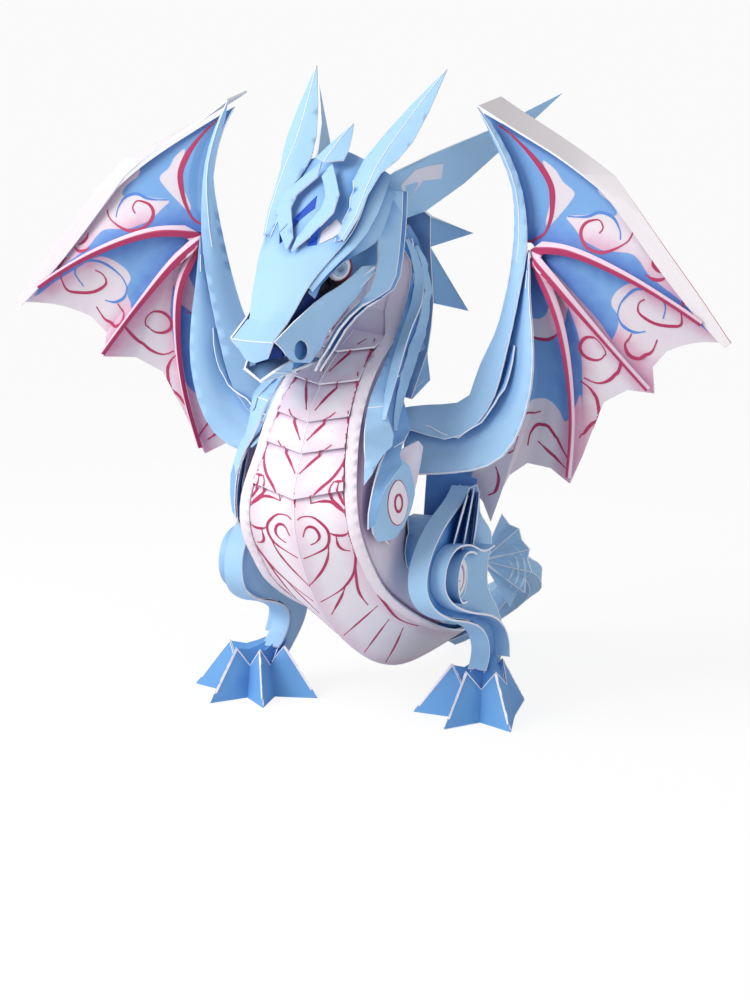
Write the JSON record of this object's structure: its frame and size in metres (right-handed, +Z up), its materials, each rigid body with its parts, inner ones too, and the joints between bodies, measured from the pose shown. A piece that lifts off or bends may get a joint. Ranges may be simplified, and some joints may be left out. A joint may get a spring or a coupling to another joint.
{
  "type": "origami dragon",
  "caption": "Folded-card dragon that stands on pleated feet, with ribbed wings held up and a printed belly.",
  "frame": {"origin": "middle of the footprint of the whole figure, on the ground", "axes": "+X to the dragon's left, along the wingspan; +Y from the snout to the tail; +Z up"},
  "size_m": [0.309, 0.2028, 0.2577],
  "materials": {
    "light_blue_card": "matte",
    "mid_blue_card": "matte",
    "deep_blue_card": "matte",
    "white_card": "matte",
    "printed_card": "matte",
    "pink_card": "matte"
  },
  "bodies": {
    "root": {"arm_plate_left": "white_card", "arm_plate_right": "white_card", "arm_sleeve_left": "light_blue_card", "arm_sleeve_right": "light_blue_card", "back_crest": "mid_blue_card", "belly_sheet": "printed_card", "cheek_front_left": "light_blue_card", "cheek_front_right": "light_blue_card", "cheek_rear_left": "light_blue_card", "cheek_rear_right": "light_blue_card", "chest_plate_lower": "printed_card", "chest_plate_middle": "printed_card", "chest_plate_upper": "printed_card", "crown_plate_left": "light_blue_card", "crown_plate_right": "light_blue_card", "crown_spike": "mid_blue_card", "ear_left": "mid_blue_card", "ear_right": "mid_blue_card", "eyelid_left": "light_blue_card", "eyelid_right": "light_blue_card", "foot_left": "mid_blue_card", "foot_right": "mid_blue_card", "forehead": "light_blue_card", "head_core": "deep_blue_card", "horn_left": "light_blue_card", "horn_right": "light_blue_card", "leg_core_left": "mid_blue_card", "leg_core_right": "mid_blue_card", "leg_ribbon_left": "light_blue_card", "leg_ribbon_right": "light_blue_card", "leg_scroll_left": "light_blue_card", "leg_scroll_right": "light_blue_card", "lower_jaw": "light_blue_card", "neck_band_front_left": "mid_blue_card", "neck_band_front_right": "mid_blue_card", "neck_band_rear_left": "mid_blue_card", "neck_band_rear_right": "mid_blue_card", "neck_plate": "printed_card", "nose_cap": "light_blue_card", "rim_strip_left": "white_card", "rim_strip_right": "white_card", "snout_side_left": "light_blue_card", "snout_side_right": "light_blue_card", "tail": "light_blue_card", "tail_fan": "light_blue_card", "throat_plate": "printed_card", "trunk": "white_card", "wing_arm_back_left": "light_blue_card", "wing_arm_back_right": "light_blue_card", "wing_arm_front_left": "light_blue_card", "wing_arm_front_right": "light_blue_card", "wing_hem_left": "white_card", "wing_hem_right": "white_card", "wing_membrane_left": "mid_blue_card", "wing_membrane_right": "mid_blue_card", "wing_ribs_left": "pink_card", "wing_ribs_right": "pink_card", "wing_rim_left": "white_card", "wing_rim_right": "white_card"}
  },
  "joints": []
}
